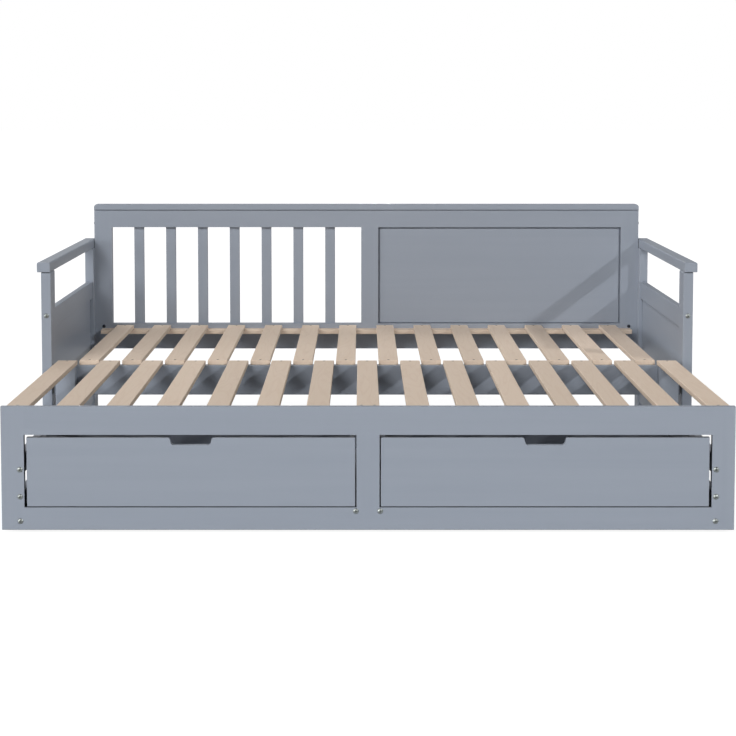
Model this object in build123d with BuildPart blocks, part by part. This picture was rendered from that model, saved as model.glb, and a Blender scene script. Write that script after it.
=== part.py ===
from build123d import *

import math
import os

# The bed as a whole
inner_width = 1929.0
frame_depth = 1040.0
deck_height = 335.0
arm_height = 304.0
back_height = 428.0

# Posts and armrests
post_thickness = 30.0
post_depth = 80.0
glide_radius = 12.0
glide_height = 4.0
armrest_width = 40.0
armrest_thickness = 30.0
armrest_inset = 1.5
armrest_front_lip = 5.0
armrest_top_round = 5.0
armrest_under_round = 2.0
post_top_ease = 2.5
plug_radius = 5.0
plug_depth = 8.0
plug_rise = 0.6
plug_end_distance = 68.0

# Side frames
side_rail_thickness = 20.0
side_rail_height = 60.0
side_rail_setback = 5.0
upper_rail_rise = 155.0
lower_rail_ground = 60.0
side_panel_thickness = 5.0
side_panel_setback = 13.5

# Back
back_setback = 30.0
back_thickness = 30.0
cap_thickness = 20.0
cap_lip = 4.0
cap_corner = 11.0
cap_reveal = 2.5
back_top_rail_height = 62.0
back_bottom_rail_height = 90.0
back_bottom_rail_rise = 3.0
back_stile_width = 62.0
center_stile_width = 60.7
center_stile_offset = 12.0
spindle_count = 7
spindle_width = 35.0
spindle_thickness = 12.0
spindle_extra_last_gap = 15.0
spindle_tenon = 10.0
infill_thickness = 12.0
infill_setback = 7.0
infill_margin = 5.0
infill_lower_margin = 2.5
infill_step = 5.0

# Slats, fixed and pulled out by turns, and the ledger under the fixed ones
slat_width = 60.0
slat_thickness = 14.0
slat_least_gap = 5.0
slat_side_margin = 14.5
slat_round = 2.0
slat_end_gap = 2.5
fixed_slat_setback = 29.5
fixed_slat_back_gap = 24.0
ledger_width = 60.0
ledger_thickness = 14.0
ledger_end_margin = 26.5
deck_step = 0.4

# Front panel of the trundle
panel_side_clearance = 3.2
panel_thickness = 20.0
panel_floor_gap = 8.0
panel_top_rail_height = 74.7
panel_bottom_rail_height = 60.0
panel_stile_width = 60.0

# Frame behind the front panel
cleat_depth = 25.0
cleat_height = 30.0
cleat_end_gap = 10.0
beam_thickness = 32.0
beam_height = 90.0
beam_bearing = 14.5
beam_side_clearance = 4.5
ledger_clearance = 5.0
leg_width = 60.0
leg_depth = 35.0
leg_floor_gap = 8.0
rail_reveal = 1.0
pullout_rail_thickness = 20.0
pullout_upper_rail_ground = 159.0
pullout_upper_rail_height = 51.0
pullout_lower_rail_ground = 20.0
pullout_lower_rail_height = 90.0
cross_rail_thickness = 20.0
center_runner_thickness = 24.0
center_runner_spacing = 64.0
side_runner_width = 30.0
side_runner_height = 20.0
runner_fence_height = 12.0

# Drawers
drawer_outer_gap = 7.2
drawer_center_gap = 4.0
drawer_top_gap = 7.2
drawer_bottom_gap = 2.6
drawer_front_thickness = 18.0
drawer_depth = 600.0
drawer_side_height = 150.0
drawer_side_thickness = 12.0
drawer_outer_inset = 4.0
drawer_center_inset = 2.0
drawer_bottom_thickness = 6.0
drawer_bottom_rise = 10.0
drawer_groove_depth = 5.0
notch_top_width = 112.0
notch_bottom_width = 101.5
notch_depth = 20.0
notch_shoulder_radius = 8.0
notch_inner_radius = 7.0

# Wheels
wheel_radius = 32.0
wheel_width = 20.0
wheel_hub_radius = 11.0
wheel_rim_thickness = 8.0
wheel_web_thickness = 8.0
wheel_tread_round = 2.0
wheel_side_gap = 1.5
wheel_end_distance = 58.0
axle_radius = 4.0
axle_head_radius = 8.0
axle_head_height = 4.0
axle_nut_radius = 7.5
axle_nut_height = 5.0

# Bolts
bolt_radius = 3.0
bolt_head_radius = 7.5
bolt_head_height = 3.5
bolt_socket_width = 6.0
bolt_socket_depth = 1.6
bolt_grip = 35.0
side_bolt_drop = 15.0
back_edge_bolt_rise = 14.0
rear_post_bolt_drop = 45.0
stile_bolt_rise = 7.0
stile_bolt_head_radius = 6.0
stile_bolt_length = 22.0
stile_bolt_edge_distance = 30.5
panel_upper_bolt_height = 160.0
panel_middle_bolt_height = 88.0
panel_lower_bolt_height = 23.0
panel_center_bolt_height = 50.0

# Fits and small edges
edge_ease = 1.2
groove_depth = 8.0
groove_clearance = 0.2
bolt_clearance = 0.1
axle_clearance = 0.05
runner_clearance = 0.3
fence_clearance = 1.0
overrun = 5.0

os.makedirs("parts", exist_ok=True)
SIDES = (("left", -1), ("right", 1))

# Distances from the middle of the bed to the side
post_inner = inner_width / 2
post_outer = post_inner + post_thickness
armrest_inner = post_inner + armrest_inset
armrest_middle = armrest_inner + armrest_width / 2
side_rail_inner = post_inner + side_rail_setback
side_rail_outer = side_rail_inner + side_rail_thickness
side_rail_middle = (side_rail_inner + side_rail_outer) / 2
side_panel_inner = post_inner + side_panel_setback
side_panel_outer = side_panel_inner + side_panel_thickness
back_opening_half = post_inner - back_stile_width
center_stile_left = center_stile_offset - center_stile_width / 2
center_stile_right = center_stile_offset + center_stile_width / 2
panel_half = post_inner - panel_side_clearance
opening_half = panel_half - panel_stile_width
pullout_rail_inner = opening_half + rail_reveal
pullout_rail_outer = pullout_rail_inner + pullout_rail_thickness
pullout_rail_middle = (pullout_rail_inner + pullout_rail_outer) / 2
deck_half = post_inner - slat_side_margin
drawer_outer_edge = opening_half - drawer_outer_gap
drawer_inner_edge = panel_stile_width / 2 + drawer_center_gap
box_outer = drawer_outer_edge - drawer_outer_inset
box_inner = drawer_inner_edge + drawer_center_inset
wheel_inner = pullout_rail_outer + wheel_side_gap
wheel_outer = wheel_inner + wheel_width
axle_head_start = wheel_outer + wheel_side_gap

# Places from front to back, with the trundle pulled out
travel = (
    frame_depth
    - post_depth
    + back_setback
    - ledger_width
    - ledger_clearance
    - fixed_slat_setback
    - beam_bearing
)
panel_front = -(travel + frame_depth) / 2
panel_back = panel_front + panel_thickness
post_front = panel_front + travel
front_post_back = post_front + post_depth
frame_back = post_front + frame_depth
rear_post_front = frame_back - post_depth
back_front = rear_post_front + back_setback
back_rear = back_front + back_thickness
back_middle = (back_front + back_rear) / 2
fixed_slat_front = post_front + fixed_slat_setback
fixed_slat_rear = back_front - fixed_slat_back_gap
pullout_slat_rear = fixed_slat_front - slat_end_gap
ledger_front = back_front - ledger_width
beam_rear = fixed_slat_front + beam_bearing
beam_front = beam_rear - beam_thickness
leg_front = beam_front - leg_depth
cross_rail_front = beam_front - (leg_depth + cross_rail_thickness) / 2
drawer_front_back = panel_front + drawer_front_thickness
drawer_rear = panel_front + drawer_depth
wheel_places = (panel_back + wheel_end_distance, leg_front - wheel_end_distance)
plug_places = (post_front - armrest_front_lip + plug_end_distance, frame_back - plug_end_distance)

# Heights above the floor
armrest_top = deck_height + arm_height
post_top = armrest_top - armrest_thickness
upper_rail_top = deck_height + upper_rail_rise
upper_rail_bottom = upper_rail_top - side_rail_height
lower_rail_top = lower_rail_ground + side_rail_height
back_top = deck_height + back_height
cap_bottom = back_top - cap_thickness
back_opening_top = cap_bottom - back_top_rail_height
back_opening_bottom = deck_height + back_bottom_rail_rise
back_bottom = back_opening_bottom - back_bottom_rail_height
fixed_slat_bottom = deck_height - slat_thickness
pullout_slat_bottom = fixed_slat_bottom - deck_step
opening_bottom = panel_floor_gap + panel_bottom_rail_height
opening_top = deck_height - panel_top_rail_height
drawer_bottom = opening_bottom + drawer_bottom_gap
drawer_front_top = opening_top - drawer_top_gap
drawer_side_top = drawer_bottom + drawer_side_height
drawer_floor = drawer_bottom + drawer_bottom_rise
drawer_floor_top = drawer_floor + drawer_bottom_thickness
runner_top = drawer_bottom - runner_clearance

# As many slats, an odd number, as the deck has room for, evenly spaced
slat_pairs = int((2 * deck_half - slat_width) / (slat_width + slat_least_gap) / 2)
slat_gap = (2 * deck_half - (2 * slat_pairs + 1) * slat_width) / (2 * slat_pairs)
slat_pitch = 2 * (slat_width + slat_gap)

# Bolts as (seat of the head, direction of the shank, length)
side_bolts = [
    ((sign * side_rail_middle, y, rail_top - side_bolt_drop), (0, inward, 0), post_depth + bolt_grip)
    for _, sign in SIDES
    for rail_top in (upper_rail_top, lower_rail_top)
    for y, inward in ((post_front, 1), (frame_back, -1))
]
back_edge_bolts = [
    (
        (sign * post_inner, back_middle, back_opening_top + back_edge_bolt_rise),
        (-sign, 0, 0),
        back_stile_width + bolt_grip,
    )
    for _, sign in SIDES
]
rear_post_bolts = [
    ((sign * post_outer, back_middle, z), (-sign, 0, 0), post_thickness + reach)
    for _, sign in SIDES
    for z, reach in (
        (post_top - rear_post_bolt_drop, bolt_grip),
        ((back_bottom + back_opening_bottom) / 2, back_stile_width + bolt_grip),
    )
]
stile_bolts = [
    (
        (sign * (post_inner - stile_bolt_edge_distance), back_front, fixed_slat_bottom + stile_bolt_rise),
        (0, 1, 0),
        stile_bolt_length,
    )
    for _, sign in SIDES
]
panel_bolts = [
    ((sign * x, panel_front, panel_floor_gap + height), (0, 1, 0), panel_thickness + bolt_grip)
    for _, sign in SIDES
    for x, height in (
        (pullout_rail_middle, panel_upper_bolt_height),
        (pullout_rail_middle, panel_middle_bolt_height),
        (pullout_rail_middle, panel_lower_bolt_height),
        (center_runner_spacing / 2, panel_center_bolt_height),
    )
]


def finish(piece, name):
    piece.part.label = name
    export_step(piece.part, f"parts/{name}.step")


def block(x_range, y_range, z_range, mode=Mode.ADD):
    """A rectangular board between low and high places, in the piece being built."""
    (x_low, x_high), (y_low, y_high), (z_low, z_high) = map(sorted, (x_range, y_range, z_range))
    with Locations(((x_low + x_high) / 2, (y_low + y_high) / 2, (z_low + z_high) / 2)):
        Box(x_high - x_low, y_high - y_low, z_high - z_low, mode=mode)


def slot(x_range, y_range, z_range):
    """A rectangular cut that holds a board of this size with the groove clearance all round."""
    ranges = (x_range, y_range, z_range)
    block(*[(min(r) - groove_clearance, max(r) + groove_clearance) for r in ranges], mode=Mode.SUBTRACT)


def mirrored(sign, near, far):
    """A pair of distances from the middle, on one side of the bed."""
    return (sign * near, sign * far)


def bolt(place, direction, length, head=bolt_head_radius):
    """A domed bolt with a hexagon socket, in the piece being built."""
    dome = (head**2 + bolt_head_height**2) / (2 * bolt_head_height)
    half_angle = math.asin(head / dome) / 2
    dome_middle = (dome - bolt_head_height - dome * math.cos(half_angle), dome * math.sin(half_angle))
    with BuildSketch(Plane(origin=place, x_dir=direction, z_dir=(0, 0, 1))) as half_profile:
        with BuildLine():
            ThreePointArc((-bolt_head_height, 0), dome_middle, (0, head))
            Polyline((0, head), (0, bolt_radius), (length, bolt_radius), (length, 0), (-bolt_head_height, 0))
        make_face()
    revolve(half_profile.sketch, axis=Axis(place, direction))
    head_top = Vector(*place) - Vector(*direction) * bolt_head_height
    with BuildSketch(Plane(origin=head_top, z_dir=direction)) as socket:
        RegularPolygon(bolt_socket_width / 2, 6)
    extrude(socket.sketch, amount=bolt_socket_depth, mode=Mode.SUBTRACT)


def bolt_holes(bolts):
    """The holes of a group of bolts, where they pass through the piece being built."""
    for place, direction, length in bolts:
        start = Vector(*place) - Vector(*direction) * overrun
        with BuildSketch(Plane(origin=start, z_dir=direction)) as hole:
            Circle(bolt_radius + bolt_clearance)
        extrude(hole.sketch, amount=overrun + length + bolt_clearance, mode=Mode.SUBTRACT)


# Side frames

side_panel_y = (front_post_back - groove_depth, rear_post_front + groove_depth)
side_panel_z = (lower_rail_top - groove_depth, upper_rail_bottom + groove_depth)

for side, sign in SIDES:
    side_panel_x = mirrored(sign, side_panel_inner, side_panel_outer)
    for end, post_start in (("front", post_front), ("rear", rear_post_front)):
        with BuildPart() as post:
            with BuildSketch(Plane.XY.offset(glide_height)):
                with Locations((sign * (post_inner + post_outer) / 2, post_start + post_depth / 2)):
                    Rectangle(post_thickness, post_depth)
            extrude(amount=post_top - glide_height)
            chamfer(post.edges().group_by(Axis.Z)[-1], post_top_ease)
            chamfer(post.edges().filter_by(Axis.Z), edge_ease)
            slot(side_panel_x, side_panel_y, side_panel_z)
            bolt_holes(side_bolts)
            bolt_holes(rear_post_bolts)
        finish(post, f"{side}_{end}_post")

    for level, rail_bottom in (("upper", upper_rail_bottom), ("lower", lower_rail_ground)):
        with BuildPart() as side_rail:
            rail_x = mirrored(sign, side_rail_inner, side_rail_outer)
            block(rail_x, (front_post_back, rear_post_front), (rail_bottom, rail_bottom + side_rail_height))
            chamfer(side_rail.edges().filter_by(Axis.Y), edge_ease)
            slot(side_panel_x, side_panel_y, side_panel_z)
            bolt_holes(side_bolts)
        finish(side_rail, f"{side}_{level}_rail")

    with BuildPart() as side_panel:
        block(side_panel_x, side_panel_y, side_panel_z)
    finish(side_panel, f"{side}_side_panel")

    with BuildPart() as armrest:
        armrest_x = mirrored(sign, armrest_inner, armrest_inner + armrest_width)
        block(armrest_x, (post_front - armrest_front_lip, frame_back), (post_top, armrest_top))
        fillet(armrest.edges().filter_by(Axis.Y).group_by(Axis.Z)[-1], armrest_top_round)
        fillet(armrest.edges().filter_by(Axis.Y).group_by(Axis.Z)[0], armrest_under_round)
        for end in (0, -1):
            chamfer(armrest.faces().sort_by(Axis.Y)[end].edges(), edge_ease)
        with Locations(*[(sign * armrest_middle, y, armrest_top) for y in plug_places]):
            Hole(plug_radius + bolt_clearance, plug_depth)
    finish(armrest, f"{side}_armrest")

with BuildPart() as armrest_plugs:
    with BuildSketch(Plane.XY.offset(armrest_top - plug_depth)):
        with Locations(*[(sign * armrest_middle, y) for _, sign in SIDES for y in plug_places]):
            Circle(plug_radius)
    extrude(amount=plug_depth + plug_rise)
finish(armrest_plugs, "armrest_plugs")

with BuildPart() as post_glides:
    with BuildSketch():
        with Locations(*[
            (sign * (post_inner + post_outer) / 2, post_start + post_depth / 2)
            for _, sign in SIDES
            for post_start in (post_front, rear_post_front)
        ]):
            Circle(glide_radius)
    extrude(amount=glide_height)
finish(post_glides, "post_glides")

# Back

back_y = (back_front, back_rear)
infill_front = back_front + infill_setback
infill_tongue_x = (center_stile_right - groove_depth, back_opening_half + groove_depth)
infill_tongue_y = (infill_front + infill_step, infill_front + infill_thickness)
infill_tongue_z = (back_opening_bottom - groove_depth, back_opening_top + groove_depth)
spindle_room = center_stile_left + back_opening_half - spindle_extra_last_gap
spindle_pitch = (spindle_room + spindle_width) / (spindle_count + 1)
spindle_starts = [
    (index + 1) * spindle_pitch - spindle_width - back_opening_half for index in range(spindle_count)
]
spindle_y = (back_middle - spindle_thickness / 2, back_middle + spindle_thickness / 2)
spindle_z = (back_opening_bottom - spindle_tenon, back_opening_top + spindle_tenon)

with BuildPart() as back_cap_rail:
    with BuildSketch(Plane.XZ.offset(cap_lip - back_front)) as cap_outline:
        with Locations((0, cap_bottom + cap_thickness / 2)):
            Rectangle(inner_width, cap_thickness)
        fillet(cap_outline.vertices().group_by(Axis.Y)[-1], cap_corner)
    extrude(amount=-(back_thickness + 2 * cap_lip))
finish(back_cap_rail, "back_cap_rail")

for name, rail_z in (
    ("back_top_rail", (back_opening_top, cap_bottom)),
    ("back_bottom_rail", (back_bottom, back_opening_bottom)),
):
    with BuildPart() as back_rail:
        block((-back_opening_half, back_opening_half), back_y, rail_z)
        if name == "back_top_rail":
            chamfer(back_rail.edges().filter_by(Axis.X).group_by(Axis.Z)[-1], cap_reveal)
        slot(infill_tongue_x, infill_tongue_y, infill_tongue_z)
        for start in spindle_starts:
            slot((start, start + spindle_width), spindle_y, spindle_z)
        bolt_holes(back_edge_bolts)
        bolt_holes(rear_post_bolts)
    finish(back_rail, name)

for side, sign in SIDES:
    with BuildPart() as back_stile:
        block(mirrored(sign, back_opening_half, post_inner), back_y, (back_bottom, cap_bottom))
        chamfer(back_stile.edges().filter_by(Axis.X).group_by(Axis.Z)[-1], cap_reveal)
        slot(infill_tongue_x, infill_tongue_y, infill_tongue_z)
        bolt_holes(back_edge_bolts)
        bolt_holes(rear_post_bolts)
        bolt_holes(stile_bolts)
    finish(back_stile, f"back_{side}_stile")

with BuildPart() as back_center_stile:
    block((center_stile_left, center_stile_right), back_y, (back_opening_bottom, back_opening_top))
    slot(infill_tongue_x, infill_tongue_y, infill_tongue_z)
finish(back_center_stile, "back_center_stile")

with BuildPart() as back_spindles:
    for start in spindle_starts:
        block((start, start + spindle_width), spindle_y, spindle_z)
    chamfer(back_spindles.edges().filter_by(Axis.Z), edge_ease)
finish(back_spindles, "back_spindles")

with BuildPart() as back_infill_panel:
    block(infill_tongue_x, infill_tongue_y, infill_tongue_z)
    block(
        (center_stile_right + infill_margin, back_opening_half - infill_margin),
        (infill_front, infill_front + infill_step),
        (back_opening_bottom + infill_lower_margin, back_opening_top - infill_margin),
    )
finish(back_infill_panel, "back_infill_panel")

with BuildPart() as rear_slat_ledger:
    ledger_half = post_inner - ledger_end_margin
    ledger_z = (fixed_slat_bottom - ledger_thickness, fixed_slat_bottom)
    block((-ledger_half, ledger_half), (ledger_front, back_front), ledger_z)
    chamfer(rear_slat_ledger.faces().sort_by(Axis.Y)[0].edges(), edge_ease)
finish(rear_slat_ledger, "rear_slat_ledger")

with BuildPart() as frame_bolts:
    for place, direction, length in side_bolts + back_edge_bolts + rear_post_bolts:
        bolt(place, direction, length)
finish(frame_bolts, "frame_bolts")

with BuildPart() as back_stile_bolts:
    for place, direction, length in stile_bolts:
        bolt(place, direction, length, head=stile_bolt_head_radius)
finish(back_stile_bolts, "back_stile_bolts")

# Slats

for name, count, slat_front, slat_rear, slat_bottom in (
    ("fixed_slats", slat_pairs, fixed_slat_front, fixed_slat_rear, fixed_slat_bottom),
    ("pullout_slats", slat_pairs + 1, panel_back, pullout_slat_rear, pullout_slat_bottom),
):
    with BuildPart() as slats:
        with BuildSketch(Plane.XZ.offset(-slat_front)):
            with Locations((0, slat_bottom + slat_thickness / 2)):
                with GridLocations(slat_pitch, slat_pitch, count, 1):
                    RectangleRounded(slat_width, slat_thickness, slat_round)
        extrude(amount=slat_front - slat_rear)
    finish(slats, name)

# Front panel

panel_y = (panel_front, panel_back)

for name, rail_z, free_edges in (
    ("front_top_rail", (opening_top, deck_height), -1),
    ("front_bottom_rail", (panel_floor_gap, opening_bottom), 0),
):
    with BuildPart() as panel_rail:
        block((-opening_half, opening_half), panel_y, rail_z)
        chamfer(panel_rail.edges().filter_by(Axis.X).group_by(Axis.Z)[free_edges], edge_ease)
        bolt_holes(panel_bolts)
    finish(panel_rail, name)

for side, sign in SIDES:
    with BuildPart() as panel_stile:
        block(mirrored(sign, opening_half, panel_half), panel_y, (panel_floor_gap, deck_height))
        chamfer(panel_stile.edges().filter_by(Axis.X), edge_ease)
        outer_face = panel_stile.faces().sort_by(Axis.X)[-1 if sign > 0 else 0]
        chamfer(outer_face.edges().filter_by(Axis.Z), edge_ease)
        bolt_holes(panel_bolts)
    finish(panel_stile, f"front_{side}_stile")

with BuildPart() as front_center_stile:
    block((-panel_stile_width / 2, panel_stile_width / 2), panel_y, (opening_bottom, opening_top))
finish(front_center_stile, "front_center_stile")

with BuildPart() as front_slat_cleat:
    cleat_half = panel_half - cleat_end_gap
    cleat_z = (pullout_slat_bottom - cleat_height, pullout_slat_bottom)
    block((-cleat_half, cleat_half), (panel_back, panel_back + cleat_depth), cleat_z)
finish(front_slat_cleat, "front_slat_cleat")

with BuildPart() as front_panel_bolts:
    for place, direction, length in panel_bolts:
        bolt(place, direction, length)
finish(front_panel_bolts, "front_panel_bolts")

# Frame behind the front panel

lower_rail_z = (pullout_lower_rail_ground, pullout_lower_rail_ground + pullout_lower_rail_height)
upper_rail_z = (pullout_upper_rail_ground, pullout_upper_rail_ground + pullout_upper_rail_height)

with BuildPart() as pullout_rear_rail:
    beam_half = post_inner - beam_side_clearance
    beam_z = (pullout_slat_bottom - beam_height, pullout_slat_bottom)
    block((-beam_half, beam_half), (beam_front, beam_rear), beam_z)
    chamfer(pullout_rear_rail.edges().filter_by(Axis.X), edge_ease)
finish(pullout_rear_rail, "pullout_rear_rail")

with BuildPart() as pullout_cross_rail:
    cross_half = deck_half - leg_width
    cross_y = (cross_rail_front, cross_rail_front + cross_rail_thickness)
    block((-cross_half, cross_half), cross_y, lower_rail_z)
finish(pullout_cross_rail, "pullout_cross_rail")

with BuildPart() as center_runners:
    for _, sign in SIDES:
        runner_near = (center_runner_spacing - center_runner_thickness) / 2
        runner_x = mirrored(sign, runner_near, runner_near + center_runner_thickness)
        block(runner_x, (panel_back, cross_rail_front), (pullout_lower_rail_ground, runner_top))
    bolt_holes(panel_bolts)
finish(center_runners, "center_runners")

for side, sign in SIDES:
    with BuildPart() as rear_leg:
        leg_x = mirrored(sign, deck_half - leg_width, deck_half)
        block(leg_x, (leg_front, beam_front), (leg_floor_gap, pullout_slat_bottom))
        chamfer(rear_leg.edges().filter_by(Axis.Z).group_by(Axis.Y)[0], edge_ease)
    finish(rear_leg, f"pullout_{side}_leg")

    for level, rail_z in (("upper", upper_rail_z), ("lower", lower_rail_z)):
        with BuildPart() as pullout_rail:
            rail_x = mirrored(sign, pullout_rail_inner, pullout_rail_outer)
            block(rail_x, (panel_back, leg_front), rail_z)
            bolt_holes(panel_bolts)
            if level == "lower":
                with BuildSketch(Plane.YZ.offset(sign * pullout_rail_middle)):
                    with Locations(*[(y, wheel_radius) for y in wheel_places]):
                        Circle(axle_radius + axle_clearance)
                extrude(amount=pullout_rail_thickness, both=True, mode=Mode.SUBTRACT)
        finish(pullout_rail, f"pullout_{side}_{level}_rail")

    with BuildPart() as drawer_runner:
        fence = box_outer + fence_clearance
        with BuildSketch(Plane.XZ.offset(-panel_back)):
            with BuildLine():
                Polyline(
                    (sign * (pullout_rail_inner - side_runner_width), runner_top - side_runner_height),
                    (sign * pullout_rail_inner, runner_top - side_runner_height),
                    (sign * pullout_rail_inner, runner_top + runner_fence_height),
                    (sign * fence, runner_top + runner_fence_height),
                    (sign * fence, runner_top),
                    (sign * (pullout_rail_inner - side_runner_width), runner_top),
                    close=True,
                )
            make_face()
        extrude(amount=panel_back - leg_front)
    finish(drawer_runner, f"{side}_drawer_runner")

# Drawers

for side, sign in SIDES:
    front_x = mirrored(sign, drawer_inner_edge, drawer_outer_edge)
    bottom_x = mirrored(
        sign,
        box_inner + drawer_side_thickness - drawer_groove_depth,
        box_outer - drawer_side_thickness + drawer_groove_depth,
    )
    bottom_y = (drawer_front_back - drawer_groove_depth, drawer_rear)
    bottom_z = (drawer_floor, drawer_floor_top)

    with BuildPart() as drawer_front:
        with BuildSketch(Plane.XZ.offset(-panel_front)) as front_outline:
            front_middle = sum(front_x) / 2
            notch_foot = drawer_front_top - notch_depth
            with BuildLine():
                Polyline(
                    (min(front_x), drawer_bottom),
                    (max(front_x), drawer_bottom),
                    (max(front_x), drawer_front_top),
                    (front_middle + notch_top_width / 2, drawer_front_top),
                    (front_middle + notch_bottom_width / 2, notch_foot),
                    (front_middle - notch_bottom_width / 2, notch_foot),
                    (front_middle - notch_top_width / 2, drawer_front_top),
                    (min(front_x), drawer_front_top),
                    close=True,
                )
            make_face()
            fillet(front_outline.vertices().group_by(Axis.Y)[1], notch_inner_radius)
            shoulders = front_outline.vertices().group_by(Axis.Y)[-1].sort_by(Axis.X)[1:3]
            fillet(shoulders, notch_shoulder_radius)
        extrude(amount=-drawer_front_thickness)
        slot(bottom_x, bottom_y, bottom_z)
    finish(drawer_front, f"{side}_drawer_front")

    with BuildPart() as drawer_sides:
        side_z = (drawer_bottom, drawer_side_top)
        outer_x = mirrored(sign, box_outer - drawer_side_thickness, box_outer)
        inner_x = mirrored(sign, box_inner, box_inner + drawer_side_thickness)
        block(outer_x, (drawer_front_back, drawer_rear), side_z)
        block(inner_x, (drawer_front_back, drawer_rear), side_z)
        slot(bottom_x, bottom_y, bottom_z)
    finish(drawer_sides, f"{side}_drawer_sides")

    with BuildPart() as drawer_back:
        back_x = mirrored(sign, box_inner + drawer_side_thickness, box_outer - drawer_side_thickness)
        block(back_x, (drawer_rear - drawer_side_thickness, drawer_rear), (drawer_floor_top, drawer_side_top))
    finish(drawer_back, f"{side}_drawer_back")

    with BuildPart() as drawer_floor_board:
        block(bottom_x, bottom_y, bottom_z)
    finish(drawer_floor_board, f"{side}_drawer_bottom")

# Wheels

for side, sign in SIDES:
    for end, wheel_y in zip(("front", "rear"), wheel_places):
        wheel_middle = sign * (wheel_inner + wheel_outer) / 2
        with BuildPart() as wheel:
            with BuildSketch(Plane.XZ.offset(-wheel_y)) as section:
                bore_radius = axle_radius + axle_clearance
                rim_inner = wheel_radius - wheel_rim_thickness
                for low, high, width in (
                    (bore_radius, wheel_hub_radius, wheel_width),
                    (bore_radius, wheel_radius, wheel_web_thickness),
                    (rim_inner, wheel_radius, wheel_width),
                ):
                    with Locations((wheel_middle, wheel_radius + (low + high) / 2)):
                        Rectangle(width, high - low)
                fillet(section.vertices().group_by(Axis.Y)[-1], wheel_tread_round)
            revolve(axis=Axis((0, wheel_y, wheel_radius), (1, 0, 0)))
        finish(wheel, f"{side}_{end}_wheel")

with BuildPart() as wheel_axles:
    for _, sign in SIDES:
        for wheel_y in wheel_places:
            for near, far, radius in (
                (pullout_rail_inner - axle_nut_height, pullout_rail_inner, axle_nut_radius),
                (pullout_rail_inner, axle_head_start, axle_radius),
                (axle_head_start, axle_head_start + axle_head_height, axle_head_radius),
            ):
                with BuildSketch(Plane.YZ.offset(sign * near)):
                    with Locations((wheel_y, wheel_radius)):
                        Circle(radius)
                extrude(amount=sign * (far - near))
finish(wheel_axles, "wheel_axles")
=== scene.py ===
import functools
import math

import bmesh
import bpy
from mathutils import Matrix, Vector


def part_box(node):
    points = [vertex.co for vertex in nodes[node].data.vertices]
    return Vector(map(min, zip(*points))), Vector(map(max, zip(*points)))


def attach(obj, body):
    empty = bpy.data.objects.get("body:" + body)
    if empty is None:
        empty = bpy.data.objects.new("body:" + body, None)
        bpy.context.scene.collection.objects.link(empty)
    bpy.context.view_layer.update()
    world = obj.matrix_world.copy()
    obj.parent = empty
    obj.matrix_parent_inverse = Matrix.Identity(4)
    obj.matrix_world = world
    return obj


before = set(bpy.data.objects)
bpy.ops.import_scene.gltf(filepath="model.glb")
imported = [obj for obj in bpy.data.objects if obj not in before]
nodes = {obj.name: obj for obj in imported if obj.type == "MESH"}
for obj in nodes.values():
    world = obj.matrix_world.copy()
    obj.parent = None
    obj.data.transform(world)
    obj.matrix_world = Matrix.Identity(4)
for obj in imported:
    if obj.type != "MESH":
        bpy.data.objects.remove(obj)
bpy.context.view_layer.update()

# Colours, as linear red, green and blue
PAINT = (0.322, 0.360, 0.424)
PAINT_LIGHT = (0.336, 0.374, 0.438)
# Lighter paint on rounded edges: partly worn paint, partly a painted highlight
PAINT_WORN_AND_HIGHLIT = (0.405, 0.445, 0.50)
PINE_EARLY = (0.86, 0.70, 0.56)
PINE_LATE = (0.76, 0.58, 0.44)
PINE_STAIN = (0.66, 0.51, 0.38)
# Drawer boards: kept dark, partly as painted shade for the inside of the drawers
BOARD = (0.115, 0.13, 0.16)
BOARD_LIGHT = (0.13, 0.145, 0.175)
ZINC = (0.42, 0.45, 0.44)
ZINC_DULL = (0.30, 0.33, 0.315)
BLACK_OXIDE = (0.045, 0.05, 0.062)
BLACK_OXIDE_WORN = (0.072, 0.08, 0.0992)
BRONZE = (0.20, 0.125, 0.07)
BRONZE_DULL = (0.10, 0.0625, 0.035)
NYLON = (0.028, 0.028, 0.031)

# Roughness, from the smoothest places to the roughest
PAINT_ROUGHNESS = (0.40, 0.48)
PINE_ROUGHNESS = (0.55, 0.72)
BOARD_ROUGHNESS = (0.42, 0.52)
METAL_SPREAD = 0.2
PLASTIC_SPREAD = 0.15

# Noise in cells to the metre. Pairs are along and across the grain
PAINT_STREAKS = (1.6, 38.0)
PAINT_RIDGES = (9.0, 420.0)
PAINT_SPRAY = 900.0
PAINT_WEAR_AND_HIGHLIGHT = 55.0
PINE_DRIFT = (1.3, 16.0)
PINE_FIBRES = (22.0, 1300.0)
PINE_STAINS = (5.0, 24.0)
BOARD_MOTTLE = 34.0
BOARD_PORES = 1100.0
METAL_SPOTS = 420.0
METAL_SCRATCHES = (2600.0, 300.0, 2600.0)
PLASTIC_TEXTURE = 1500.0
PLASTIC_DUST = 70.0

# Ramps over a noise: the levels where they start and end, and then what they lead from and to
NOISE_CORE = (0.3, 0.7)
NOISE_WIDE = (0.2, 0.8)
WEAR_AND_HIGHLIGHT_SPOTS = (0.42, 0.68, 0.25, 0.9)
PINE_LINES = (0.2, 1.0)
PINE_CONTRAST = (0.3, 0.7, 0.10, 0.34)
PINE_STAINED = (0.62, 0.82, 0.0, 0.35)
METAL_DULLED = (0.35, 0.7)
METAL_ROUGHENED = (0.3, 0.75)
PLASTIC_DUSTED = (0.35, 0.75)
PLASTIC_ROUGHENED = (0.3, 0.8)

# Depth of the surface texture, in metres, and how much paint spray and growth lines add to its height
PAINT_BUMP = 0.00006
PINE_BUMP = 0.00008
BOARD_BUMP = 0.00003
METAL_BUMP = 0.00002
PLASTIC_BUMP = 0.00004
SPRAY_SHARE = 0.35
LINE_SHARE = 0.3

# Radius to which edges look rounded, in metres, and the cosine of the turn at which the lighter edge (partly
# worn paint, partly painted highlight) starts and is full
PAINT_EDGE = 0.0018
PINE_EDGE = 0.0008
EDGE_TURN = (0.995, 0.80)

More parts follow.
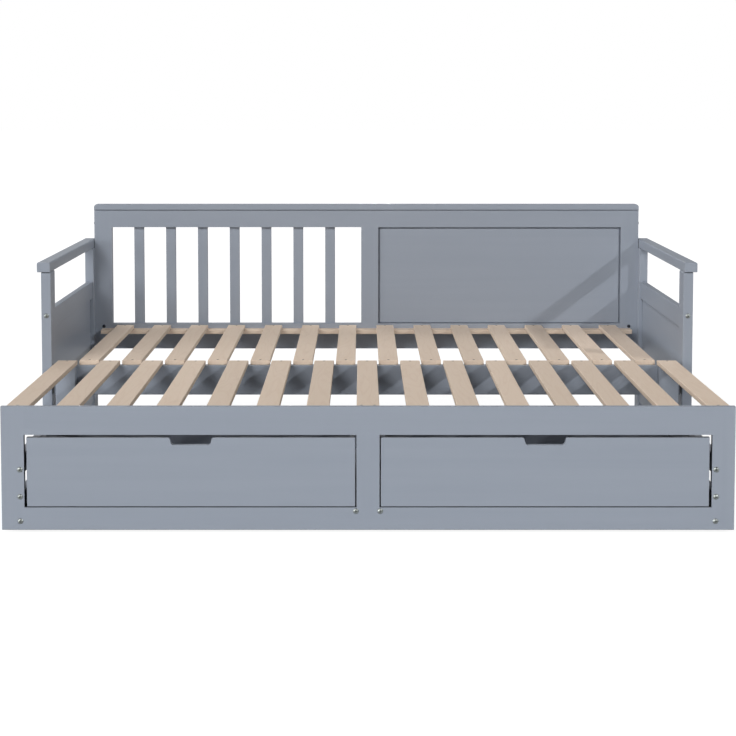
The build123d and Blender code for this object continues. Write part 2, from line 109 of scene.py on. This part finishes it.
# Pine: rings across the drift of the grain, how far boards lie apart in the log, and their tones
PINE_RINGS = 62.0
BOARD_JUMP = 60.0
PINE_TONES = (0.94, 1.05)

# Dust makes plastic this much lighter
DUST_GAIN = 1.35
DUST_LIFT = 0.004

# Painted shade in each narrow gap and round each bolt head: how far off a wall still tells, in metres, how
# open a place is where the shade is full and where it ends, and the share of the colour left in full shade
CREVICE_SHADE = (0.02, 0.25, 0.50, 0.05)
RIM_SHADE = (0.004, 0.65, 0.95, 0.35)

# Slats: the number of fixed ones, counted across the bed, and the width of each in metres
FIXED_SLATS = 14
SLAT_WIDTH = 0.060


class Shader:
    """The node tree of a material or a world."""

    def __init__(self, owner):
        self.owner = owner
        self.owner.use_nodes = True
        self.tree = self.owner.node_tree
        self.tree.nodes.clear()

    def node(self, kind, inputs=(), output=0, **settings):
        """Adds a node, sets or links its inputs, by name or number, and returns one of its outputs."""
        made = self.tree.nodes.new("ShaderNode" + kind)
        for key, value in settings.items():
            setattr(made, key, value)
        for key, value in dict(inputs).items():
            if isinstance(value, bpy.types.NodeSocket):
                self.tree.links.new(value, made.inputs[key])
            else:
                made.inputs[key].default_value = value
        return made.outputs[output] if made.outputs else None

    def place(self):
        return self.node("TexCoord", output="Object")

    def noise(self, place, cells, detail, roughness=0.5, distortion=0.0):
        """Noise between 0 and 1, with so many cells to the metre, the same or one number for each axis."""
        scale = cells if isinstance(cells, tuple) else (cells, cells, cells)
        inputs = {
            "Vector": self.node("Mapping", {"Vector": place, "Scale": scale}),
            "Scale": 1.0,
            "Detail": detail,
            "Roughness": roughness,
            "Distortion": distortion,
        }
        return self.node("TexNoise", inputs)

    def math(self, operation, *values):
        return self.node("Math", enumerate(values), operation=operation)

    def ramp(self, value, low, high, to_low=0.0, to_high=1.0):
        inputs = {"Value": value, 1: low, 2: high, 3: to_low, 4: to_high}
        return self.node("MapRange", inputs, clamp=True)

    def mix(self, factor, a, b):
        """A colour between a and b."""
        opaque = [value if isinstance(value, bpy.types.NodeSocket) else (*value, 1.0) for value in (a, b)]
        return self.node("Mix", {0: factor, 6: opaque[0], 7: opaque[1]}, output=2, data_type="RGBA")

    def times(self, colour, factor):
        return self.node("VectorMath", {0: colour, 3: factor}, operation="SCALE")

    def shaded(self, colour, reach, shut, clear, left):
        """The colour, darkened where other surfaces within reach shut the light out."""
        openness = self.node("AmbientOcclusion", {"Distance": reach}, output="AO", samples=8)
        return self.times(colour, self.ramp(openness, shut, clear, left, 1.0))

    def bump(self, height, depth, normal=None):
        inputs = {"Height": height, "Distance": depth, "Strength": 1.0}
        if normal is not None:
            inputs["Normal"] = normal
        return self.node("Bump", inputs)

    def surface(self, inputs):
        """Ends the tree with one principled surface and returns the material."""
        self.node("OutputMaterial", {"Surface": self.node("BsdfPrincipled", inputs)})
        return self.owner


def along(axis, lengthwise, crosswise):
    """Cells to the metre for a board whose grain runs along the axis."""
    return tuple(lengthwise if index == axis else crosswise for index in range(3))


@functools.cache
def painted(axis, rounded, gap_shade):
    """Satin paint over wood whose grain shows through a little along the axis, with painted shade where a gap
    is narrow.
    """
    name = f"satin_paint_{'xyz'[axis]}" + "_rounded" * rounded + "_gaps" * gap_shade
    shader = Shader(bpy.data.materials.new(name))
    place = shader.place()
    streaks = shader.noise(place, along(axis, *PAINT_STREAKS), detail=3.0)
    ridges = shader.noise(place, along(axis, *PAINT_RIDGES), detail=3.0)
    spray = shader.noise(place, PAINT_SPRAY, detail=1.0)
    colour = shader.mix(shader.ramp(streaks, *NOISE_CORE), PAINT, PAINT_LIGHT)
    height = shader.math("MULTIPLY_ADD", spray, SPRAY_SHARE, ridges)
    bevel = None
    if rounded:
        # Paint is lighter in spots where the rounding turns the surface away from the flat face: partly worn
        # paint, partly a painted highlight along the edges
        face = shader.node("NewGeometry", output="Normal")
        bevel = shader.node("Bevel", {"Radius": PAINT_EDGE}, samples=6)
        likeness = shader.node("VectorMath", {0: face, 1: bevel}, output="Value", operation="DOT_PRODUCT")
        edge = shader.ramp(likeness, *EDGE_TURN)
        rubbed_and_highlit = shader.noise(place, PAINT_WEAR_AND_HIGHLIGHT, detail=4.0, roughness=0.65)
        wear_and_highlight = shader.math("MULTIPLY", edge, shader.ramp(rubbed_and_highlit, *WEAR_AND_HIGHLIGHT_SPOTS))
        colour = shader.mix(wear_and_highlight, colour, PAINT_WORN_AND_HIGHLIT)
    normal = shader.bump(height, PAINT_BUMP, bevel)
    # Painted shade: the paint darkens where a gap is narrow and little light gets in
    if gap_shade:
        colour = shader.shaded(colour, *CREVICE_SHADE)
    return shader.surface({
        "Base Color": colour,
        "Roughness": shader.ramp(streaks, *NOISE_WIDE, *PAINT_ROUGHNESS),
        "Specular IOR Level": 0.35,
        "Normal": normal,
    })


def pine(name, axis, seed, first=None, pitch=None):
    """Bare sanded pine. Where boards lie side by side from first on, each has its own tone and grain."""
    shader = Shader(bpy.data.materials.new(name))
    place = shader.place()
    board = seed
    if pitch is not None:
        across = shader.node("SeparateXYZ", {"Vector": place}, output="X")
        steps = shader.math("DIVIDE", shader.math("SUBTRACT", across, first), pitch)
        board = shader.math("ADD", shader.math("FLOOR", steps), seed)
    luck = shader.node("TexWhiteNoise", {"W": board}, noise_dimensions="1D")
    jump = shader.math("MULTIPLY", luck, BOARD_JUMP)
    shift = shader.node("CombineXYZ", {"X": jump, "Y": jump, "Z": jump})
    moved = shader.node("VectorMath", {0: place, 1: shift}, operation="ADD")
    drift = shader.noise(moved, along(axis, *PINE_DRIFT), detail=2.0, distortion=0.4)
    rings = shader.math("SINE", shader.math("MULTIPLY", drift, PINE_RINGS))
    lines = shader.ramp(rings, *PINE_LINES)
    fibres = shader.noise(moved, along(axis, *PINE_FIBRES), detail=4.0, roughness=0.6)
    stains = shader.noise(moved, along(axis, *PINE_STAINS), detail=3.0)
    strength = shader.math("MULTIPLY", lines, shader.ramp(fibres, *PINE_CONTRAST))
    colour = shader.mix(strength, PINE_EARLY, PINE_LATE)
    colour = shader.mix(shader.ramp(stains, *PINE_STAINED), colour, PINE_STAIN)
    colour = shader.times(colour, shader.ramp(luck, 0.0, 1.0, *PINE_TONES))
    height = shader.math("MULTIPLY_ADD", lines, LINE_SHARE, fibres)
    bevel = shader.node("Bevel", {"Radius": PINE_EDGE}, samples=4)
    return shader.surface({
        # Painted shade: the wood darkens where a gap is narrow and little light gets in
        "Base Color": shader.shaded(colour, *CREVICE_SHADE),
        "Roughness": shader.ramp(fibres, *NOISE_CORE, *PINE_ROUGHNESS),
        "Specular IOR Level": 0.25,
        "Normal": shader.bump(height, PINE_BUMP, bevel),
    })


def coated_board():
    """Thin board with a smooth grey coating, faintly mottled, its dark tone partly painted shade for the
    inside of the drawers.
    """
    shader = Shader(bpy.data.materials.new("grey_coated_board"))
    place = shader.place()
    mottle = shader.noise(place, BOARD_MOTTLE, detail=3.0)
    pores = shader.noise(place, BOARD_PORES, detail=2.0)
    return shader.surface({
        "Base Color": shader.mix(shader.ramp(mottle, *NOISE_CORE), BOARD, BOARD_LIGHT),
        "Roughness": shader.ramp(mottle, *NOISE_CORE, *BOARD_ROUGHNESS),
        "Specular IOR Level": 0.3,
        "Normal": shader.bump(pores, BOARD_BUMP),
    })


def metal(name, bright, dull, roughness):
    """Turned and plated metal with fine scratches and dull spots, and painted shade in its hollows and round
    its rim.
    """
    shader = Shader(bpy.data.materials.new(name))
    place = shader.place()
    spots = shader.noise(place, METAL_SPOTS, detail=3.0, roughness=0.6)
    scratches = shader.noise(place, METAL_SCRATCHES, detail=2.0)
    colour = shader.mix(shader.ramp(spots, *METAL_DULLED), bright, dull)
    return shader.surface({
        # Painted shade: the metal darkens in its hollows and where it meets the board
        "Base Color": shader.shaded(colour, *RIM_SHADE),
        "Metallic": 1.0,
        "Roughness": shader.ramp(spots, *METAL_ROUGHENED, roughness, roughness + METAL_SPREAD),
        "Normal": shader.bump(scratches, METAL_BUMP),
    })


def plastic(name, colour, roughness):
    """Moulded plastic with a fine texture."""
    shader = Shader(bpy.data.materials.new(name))
    place = shader.place()
    texture = shader.noise(place, PLASTIC_TEXTURE, detail=2.0)
    dust = shader.noise(place, PLASTIC_DUST, detail=4.0)
    dusty = tuple(channel * DUST_GAIN + DUST_LIFT for channel in colour)
    return shader.surface({
        "Base Color": shader.mix(shader.ramp(dust, *PLASTIC_DUSTED), colour, dusty),
        "Roughness": shader.ramp(dust, *PLASTIC_ROUGHENED, roughness, roughness + PLASTIC_SPREAD),
        "Specular IOR Level": 0.4,
        "Normal": shader.bump(texture, PLASTIC_BUMP),
    })


# Materials on the frame's own nodes

# Boards that meet flush, where a rounded edge would show as a seam
FLUSH = (
    "front_top",
    "front_bottom",
    "front_left",
    "front_center",
    "front_right",
    "back_top",
    "back_bottom",
    "back_left",
    "back_center",
    "back_right",
)
slat_low, slat_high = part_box("fixed_slats")
slat_pitch = (slat_high.x - slat_low.x - SLAT_WIDTH) / (FIXED_SLATS - 1)
slat_margin = (slat_pitch - SLAT_WIDTH) / 2
pullout_low, pullout_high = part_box("pullout_slats")
zinc = metal("zinc_plate", ZINC, ZINC_DULL, roughness=0.36)
finishes = {
    "drawer_board": coated_board(),
    "steel": zinc,
    "black_steel": metal("black_oxide", BLACK_OXIDE, BLACK_OXIDE_WORN, roughness=0.34),
    "plug": plastic("grey_cap", PAINT, roughness=0.35),
    "black_plastic": plastic("black_nylon", NYLON, roughness=0.42),
}
own_finishes = {
    "fixed_slats": pine("fixed_slat_pine", 1, 3.0, slat_low.x - slat_margin, slat_pitch),
    "pullout_slats": pine("pullout_slat_pine", 1, 40.0, pullout_low.x - slat_margin, slat_pitch),
    "rear_slat_ledger": pine("ledger_pine", 0, 80.0),
}
for name, node in nodes.items():
    low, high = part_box(name)
    extent = list(high - low)
    if name in own_finishes:
        finish = own_finishes[name]
    elif node.material_slots[0].material.name == "painted_wood":
        lengthwise = 2 if name == "back_spindles" else extent.index(max(extent))
        # All pieces but the back get painted shade where a gap is narrow
        finish = painted(lengthwise, not name.startswith(FLUSH), not name.startswith("back_"))
    else:
        finish = finishes[node.material_slots[0].material.name]
    node.material_slots[0].material = finish


# Screws in the slats, in metres

SCREW_HEAD = 0.0036
SCREW_SHANK = 0.0018
SCREW_RISE = 0.0003
SCREW_SINK = 0.0028
SCREW_SIDES = 24
CROSS_ARM = 0.0021
CROSS_HALF_WIDTH = 0.00055
CROSS_DEPTH = 0.0014
CROSS_ARM_AT_BOTTOM = 0.00126
CROSS_HALF_WIDTH_AT_BOTTOM = 0.000385

# Each screw is driven in this much further round than the one before, in radians
TURN_STEP = 1.1


def screw(mesh, place, turn):
    """A countersunk screw head with a cross recess, its axis upright, turned by an angle."""
    def ring(radius, height):
        """A ring of points round the axis."""
        angles = [turn + math.tau * index / SCREW_SIDES for index in range(SCREW_SIDES)]
        return [
            mesh.verts.new((place.x + radius * math.cos(a), place.y + radius * math.sin(a), place.z + height))
            for a in angles
        ]

    def cross(reach, half, height):
        """The twelve corners of the recess at one height."""
        corners = ((reach, -half), (reach, half), (half, half))
        made = []
        for quarter in range(4):
            a = turn + quarter * math.pi / 2
            for u, v in corners:
                x = place.x + u * math.cos(a) - v * math.sin(a)
                y = place.y + u * math.sin(a) + v * math.cos(a)
                made.append(mesh.verts.new((x, y, place.z + height)))
        return made

    def loop_edges(loop):
        return [mesh.edges.new((loop[index - 1], loop[index])) for index in range(len(loop))]

    def wall(upper, lower):
        """Faces between two loops of equally many points."""
        for index in range(len(upper)):
            mesh.faces.new((upper[index - 1], upper[index], lower[index], lower[index - 1]))

    rim = ring(SCREW_HEAD, SCREW_RISE)
    edge = ring(SCREW_HEAD, 0.0)
    neck = ring(SCREW_SHANK, -SCREW_SINK)
    mouth = cross(CROSS_ARM, CROSS_HALF_WIDTH, SCREW_RISE)
    bottom = cross(CROSS_ARM_AT_BOTTOM, CROSS_HALF_WIDTH_AT_BOTTOM, SCREW_RISE - CROSS_DEPTH)
    bmesh.ops.triangle_fill(mesh, edges=loop_edges(rim) + loop_edges(mouth), use_beauty=True)
    wall(rim, edge)
    wall(edge, neck)
    wall(mouth, bottom)
    mesh.faces.new(neck)
    mesh.faces.new(bottom)


def screws(name, places, body, material):
    """Makes a group of screws as one piece that rides on a body."""
    mesh = bmesh.new()
    for index, place in enumerate(places):
        screw(mesh, place, index * TURN_STEP)
    bmesh.ops.recalc_face_normals(mesh, faces=mesh.faces)
    data = bpy.data.meshes.new(name)
    mesh.to_mesh(data)
    mesh.free()
    piece = bpy.data.objects.new(name, data)
    bpy.context.scene.collection.objects.link(piece)
    data.materials.append(material)
    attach(piece, body)


# Screws stand this far in from a slat's ends. In front only four show, two of them as a pair in the middle
SCREW_INSET = 0.0125
FRONT_SCREW_INSET = 0.006
PAIR_HALF_SPACING = 0.017
fixed_middles = [slat_low.x + SLAT_WIDTH / 2 + index * slat_pitch for index in range(FIXED_SLATS)]
pullout_middles = [pullout_low.x + SLAT_WIDTH / 2 + index * slat_pitch for index in range(FIXED_SLATS + 1)]
bronze = metal("bronzed_screw", BRONZE, BRONZE_DULL, roughness=0.42)
fixed_places = [
    Vector((x, y, slat_high.z))
    for x in fixed_middles
    for y in (slat_low.y + SCREW_INSET, slat_high.y - SCREW_INSET)
]
pullout_places = [Vector((x, pullout_high.y - SCREW_INSET, pullout_high.z)) for x in pullout_middles]
front_xs = (pullout_middles[0], -PAIR_HALF_SPACING, PAIR_HALF_SPACING, pullout_middles[-1])
front_places = [Vector((x, pullout_low.y + FRONT_SCREW_INSET, pullout_high.z)) for x in front_xs]
screws("fixed_slat_screws", fixed_places, "daybed_frame", bronze)
screws("pullout_slat_screws", pullout_places, "trundle", bronze)
screws("front_slat_screws", front_places, "trundle", zinc)


# Floor, sky and lamps

# The floor, in metres, glows white to the camera and keeps a share of the shadow
FLOOR_HALF = 60.0
FLOOR_GLOW = 0.90
FLOOR_SHARE = 0.30
FLOOR_GREY = 0.84

# The sky gives little light. Behind the bed a backdrop, brighter on the left, is mirrored in the gloss
SKY_STRENGTH = 0.02
BACKDROP_LEFT = 0.50
BACKDROP_RIGHT = 0.25
BACKDROP_BLEND = 0.25
BACKDROP_FADE = 0.5

# Each lamp as azimuth from the front towards the right, elevation, apparent size (degrees) and strength
LAMPS = {
    "window": (50.0, 30.4, 2.2, 0.92),
    "screen_low": (-60.0, 8.0, 30.0, 1.27),
    "screen_front": (-30.0, 33.0, 30.0, 1.31),
    "screen_behind": (-165.0, 50.0, 40.0, 0.80),
    "screen_right": (90.0, 0.0, 1.0, 0.45),
    "screen_back": (180.0, 0.0, 1.0, 0.70),
}
LAMP_DISTANCE = 8.0


def grey(level):
    """An opaque grey, black at 0 and white at 1."""
    return (level, level, level, 1.0)


def floor():
    data = bpy.data.meshes.new("floor")
    corners = [(-1, -1), (1, -1), (1, 1), (-1, 1)]
    data.from_pydata([(FLOOR_HALF * x, FLOOR_HALF * y, 0.0) for x, y in corners], [], [(0, 1, 2, 3)])
    piece = bpy.data.objects.new("floor", data)
    bpy.context.scene.collection.objects.link(piece)
    shader = Shader(bpy.data.materials.new("pale_floor"))
    glow = shader.node("Emission", {"Color": grey(1.0), "Strength": FLOOR_GLOW})
    share = shader.node("BsdfDiffuse", {"Color": grey(FLOOR_SHARE)})
    seen = shader.node("AddShader", {0: glow, 1: share})
    matt = shader.node("BsdfDiffuse", {"Color": grey(FLOOR_GREY)})
    camera_sees = shader.node("LightPath", output="Is Camera Ray")
    both = shader.node("MixShader", {0: camera_sees, 1: matt, 2: seen})
    shader.node("OutputMaterial", {"Surface": both})
    data.materials.append(shader.owner)


def sky():
    world = bpy.data.worlds.new("studio")
    bpy.context.scene.world = world
    shader = Shader(world)
    direction = shader.node("TexCoord", output="Generated")
    across = shader.node("SeparateXYZ", {"Vector": direction}, output="X")
    away = shader.node("SeparateXYZ", {"Vector": direction}, output="Y")
    fade = shader.ramp(away, 0.0, BACKDROP_FADE)
    level = shader.ramp(across, -BACKDROP_BLEND, BACKDROP_BLEND, BACKDROP_LEFT, BACKDROP_RIGHT)
    sheen = shader.math("MULTIPLY", fade, level)
    light = shader.node("Background", {"Color": grey(1.0), "Strength": SKY_STRENGTH})
    backdrop = shader.node("Background", {"Color": grey(1.0), "Strength": sheen})
    white = shader.node("Background", {"Color": grey(1.0), "Strength": 1.0})
    reflected = shader.node("LightPath", output="Is Glossy Ray")
    camera_sees = shader.node("LightPath", output="Is Camera Ray")
    unseen = shader.node("MixShader", {0: reflected, 1: light, 2: backdrop})
    both = shader.node("MixShader", {0: camera_sees, 1: unseen, 2: white})
    shader.node("OutputWorld", {"Surface": both})


def lamps():
    for name, (azimuth, elevation, size, strength) in LAMPS.items():
        a, e = math.radians(azimuth), math.radians(elevation)
        source = Vector((math.sin(a) * math.cos(e), -math.cos(a) * math.cos(e), math.sin(e)))
        data = bpy.data.lights.new(name, "SUN")
        data.energy = strength
        data.angle = math.radians(size)
        lamp = bpy.data.objects.new(name, data)
        lamp.rotation_mode = "QUATERNION"
        lamp.rotation_quaternion = (-source).to_track_quat("-Z", "Y")
        lamp.location = LAMP_DISTANCE * source
        bpy.context.scene.collection.objects.link(lamp)


floor()
sky()
lamps()


# Camera, at the photograph's place, with most of its tilt and part of its shift

CAMERA_PLACE = (-0.0165, -6.0550, 1.1411)
CAMERA_PITCH = math.radians(4.663)
CAMERA_LENS = 96.289
CAMERA_SENSOR = 36.0
CAMERA_SHIFT = (0.00854, -0.15)
CAMERA_FAR = 200.0

camera_data = bpy.data.cameras.new("camera")
camera_data.lens = CAMERA_LENS
camera_data.sensor_width = CAMERA_SENSOR
camera_data.shift_x, camera_data.shift_y = CAMERA_SHIFT
camera_data.clip_end = CAMERA_FAR
camera = bpy.data.objects.new("camera", camera_data)
camera.location = CAMERA_PLACE
camera.rotation_euler = (math.pi / 2 - CAMERA_PITCH, 0.0, 0.0)
bpy.context.scene.collection.objects.link(camera)
bpy.context.scene.camera = camera
bpy.context.scene.view_settings.view_transform = "Standard"
